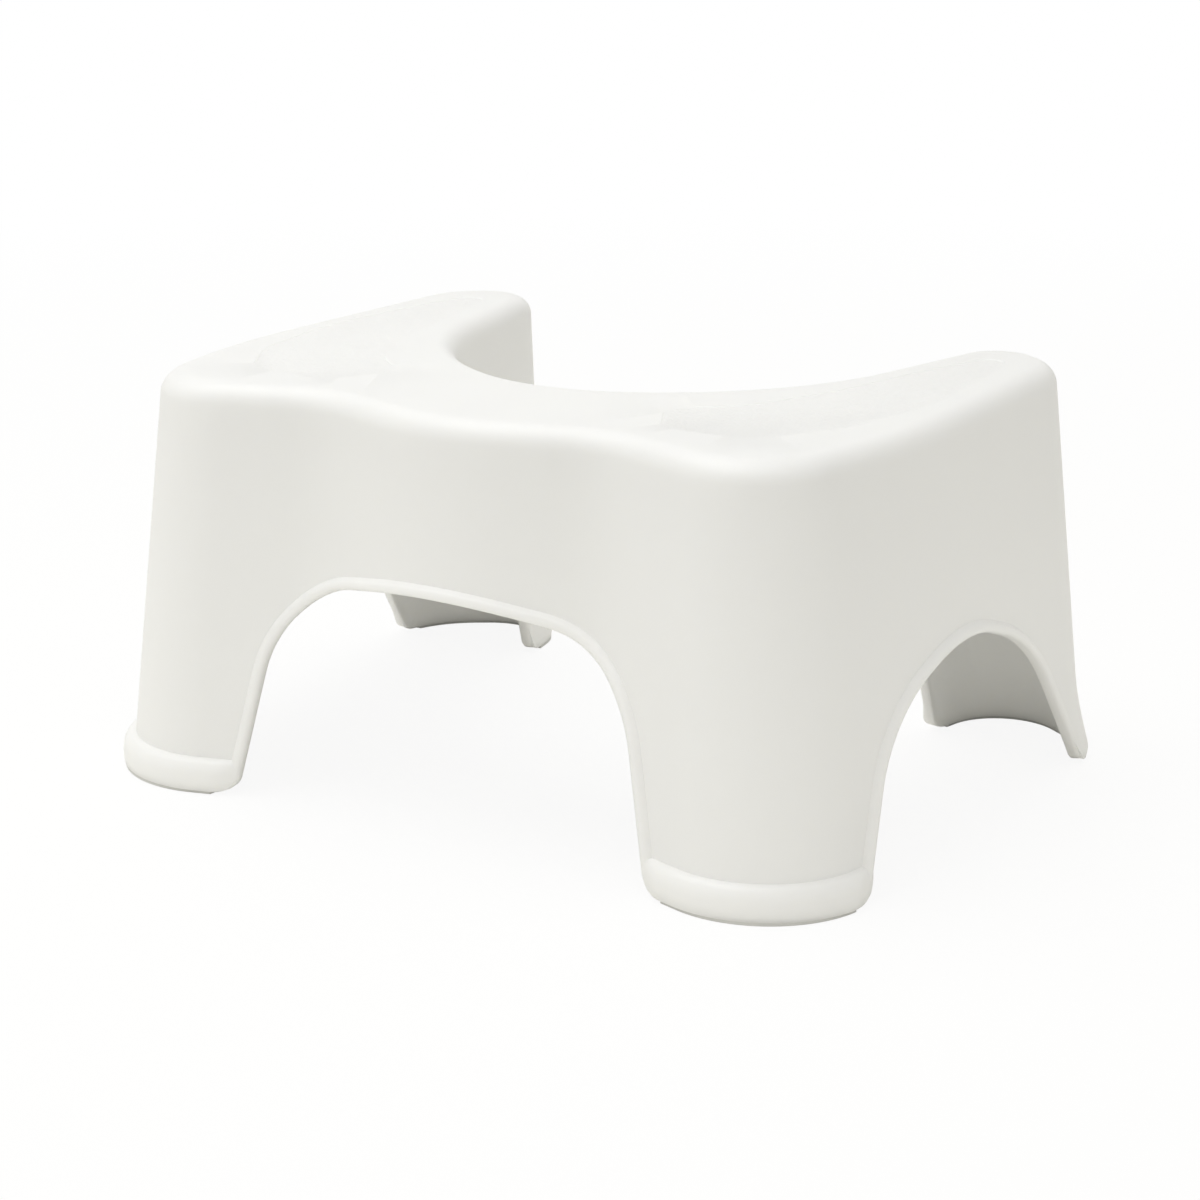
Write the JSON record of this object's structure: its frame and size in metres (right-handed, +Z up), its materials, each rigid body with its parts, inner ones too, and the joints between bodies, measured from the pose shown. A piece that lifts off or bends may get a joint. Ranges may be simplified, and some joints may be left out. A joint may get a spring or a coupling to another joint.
{
  "type": "toilet footstool",
  "caption": "Low moulded footstool with a crescent deck, a deep rear recess that fits round a toilet base, arched open sides and rimmed feet on soft pads.",
  "frame": {"origin": "on the floor, under the middle of the whole footprint", "axes": "+Z up from the floor to the deck; +Y from the user's side towards the toilet, out through the recess; +X to the right as seen from the user's side"},
  "size_m": [0.3854, 0.2976, 0.18],
  "materials": {
    "shell_plastic": "white polypropylene, satin from a lightly polished mould",
    "pad_rubber": "pale grey soft thermoplastic rubber, matt"
  },
  "bodies": {
    "root": {"stool_shell": "shell_plastic", "foot_pad_front_left": "pad_rubber", "foot_pad_front_right": "pad_rubber", "foot_pad_rear_left": "pad_rubber", "foot_pad_rear_right": "pad_rubber"}
  },
  "joints": []
}
